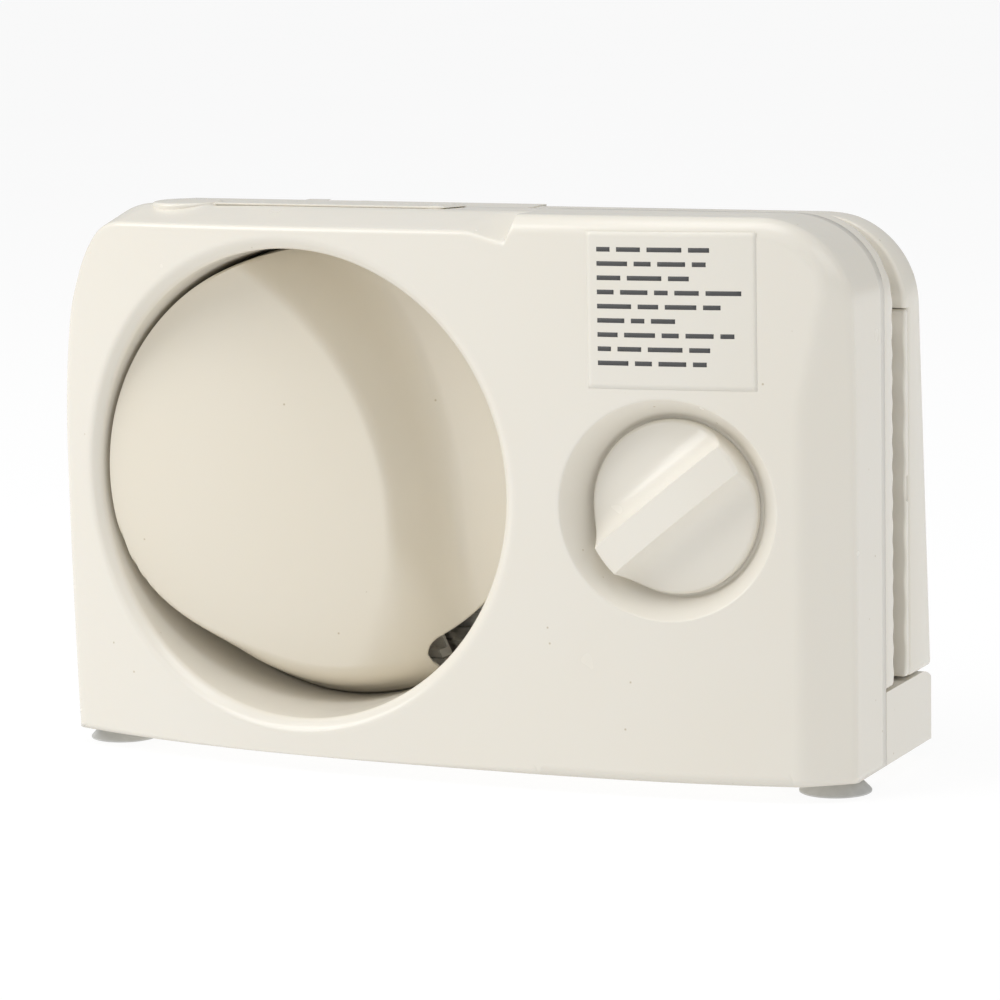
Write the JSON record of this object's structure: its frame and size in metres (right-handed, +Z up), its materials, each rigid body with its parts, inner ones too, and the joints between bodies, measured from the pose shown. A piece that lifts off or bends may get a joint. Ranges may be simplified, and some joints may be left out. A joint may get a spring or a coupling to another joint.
{
  "type": "electric food slicer",
  "caption": "Compact electric food slicer with a fold-up food tray, round slice bowl, thickness knob, gauge plate, circular blade and suction feet.",
  "frame": {"origin": "on the table, under the middle of the slicer's box", "axes": "+X to the thickness knob's end, -Y to the front with the slice bowl, +Z up"},
  "size_m": [0.2909, 0.098, 0.1911],
  "materials": {
    "cream_plastic": "glossy cream ABS",
    "bowl_plastic": "glossy cream ABS, slightly darker",
    "grey_rubber": "light grey soft PVC",
    "label_film": "printed film",
    "blade_steel": "ground stainless steel",
    "plated_steel": "zinc plated",
    "acetal": "white acetal",
    "nylon": "black nylon",
    "copper": "copper",
    "bronze": "sintered bronze",
    "ferrite": "ferrite and carbon"
  },
  "bodies": {
    "housing": {"front_shell": "cream_plastic", "rear_shell": "cream_plastic", "base_block": "cream_plastic", "base_cover": "cream_plastic", "switch_plate": "cream_plastic", "slice_bowl": "bowl_plastic", "suction_foot_front_left": "grey_rubber", "suction_foot_front_right": "grey_rubber", "suction_foot_rear_left": "grey_rubber", "suction_foot_rear_right": "grey_rubber", "label_plate": "label_film", "shell_screw_1": "plated_steel", "shell_screw_2": "plated_steel", "shell_screw_3": "plated_steel", "frame_screw_1": "plated_steel", "frame_screw_2": "plated_steel", "plate_screw_1": "plated_steel", "plate_screw_2": "plated_steel", "plate_screw_3": "plated_steel", "base_screw_1": "plated_steel", "base_screw_2": "plated_steel", "button_spring": "plated_steel", "blade_axle": "plated_steel", "jack_axle": "plated_steel", "gear_plate": "plated_steel", "motor_can": "plated_steel", "guide_frame": "plated_steel", "gauge_spring_lower": "plated_steel", "gauge_spring_upper": "plated_steel", "tray_hinge_pin_left": "plated_steel", "tray_hinge_pin_right": "plated_steel", "cord_inlet": "nylon", "switch_body": "nylon", "motor_cap": "nylon", "front_bush": "bronze", "rear_bush": "bronze", "magnet_upper": "ferrite", "magnet_lower": "ferrite", "brush_left": "ferrite", "brush_right": "ferrite"},
    "blade_unit": {"blade": "blade_steel", "blade_gear": "acetal", "blade_lock": "cream_plastic"},
    "jack_unit": {"jack_gear": "acetal", "jack_pinion": "plated_steel"},
    "rotor": {"armature": "copper", "commutator": "copper", "motor_shaft": "plated_steel", "motor_pinion": "bronze"},
    "knob": {"thickness_knob": "cream_plastic", "knob_shaft": "plated_steel", "thickness_cam": "acetal"},
    "gauge": {"gauge_plate": "cream_plastic", "cam_follower": "acetal", "guide_rod_lower": "plated_steel", "guide_rod_upper": "plated_steel"},
    "button": {"power_button": "cream_plastic"},
    "tray": {"food_tray": "cream_plastic"},
    "carriage": {"food_carriage": "cream_plastic"}
  },
  "joints": [
    {"name": "blade_spin", "type": "hinge", "parent": "housing", "child": "blade_unit", "pos_m": [-0.0496, 0.019, 0.106], "axis": [0, 1, 0], "continuous": true},
    {"name": "jack_spin", "type": "hinge", "parent": "housing", "child": "jack_unit", "pos_m": [-0.08009, 0.011, 0.08612], "axis": [0, 1, 0], "continuous": true},
    {"name": "motor_spin", "type": "hinge", "parent": "housing", "child": "rotor", "pos_m": [-0.0996, 0, 0.102], "axis": [0, 1, 0], "continuous": true},
    {"name": "thickness_turn", "type": "hinge", "parent": "housing", "child": "knob", "pos_m": [0.0869, -0.0342, 0.0956], "axis": [0, -1, 0], "range_deg": [0, 300]},
    {"name": "gauge_slide", "type": "slide", "parent": "housing", "child": "gauge", "axis": [0, 1, 0], "range_m": [0, 0.0096], "deforming": ["gauge_spring_lower", "gauge_spring_upper"]},
    {"name": "power_press", "type": "slide", "parent": "housing", "child": "button", "axis": [0, 0, -1], "range_m": [0, 0.0016], "stiffness_N_per_m": 400, "springref_m": -0.001, "deforming": ["button_spring"]},
    {"name": "tray_fold", "type": "hinge", "parent": "housing", "child": "tray", "pos_m": [0, 0.039, 0.0137], "axis": [-1, 0, 0], "range_deg": [0, 90]},
    {"name": "carriage_slide", "type": "slide", "parent": "tray", "child": "carriage", "axis": [-1, 0, 0], "range_m": [0, 0.14]}
  ],
  "couplings": [
    {"joint": "jack_spin", "follows": "blade_spin", "ratio": -4.8},
    {"joint": "motor_spin", "follows": "blade_spin", "ratio": 19.2},
    {"joint": "gauge_slide", "follows": "thickness_turn", "m_per_rad": 0.0018144}
  ]
}
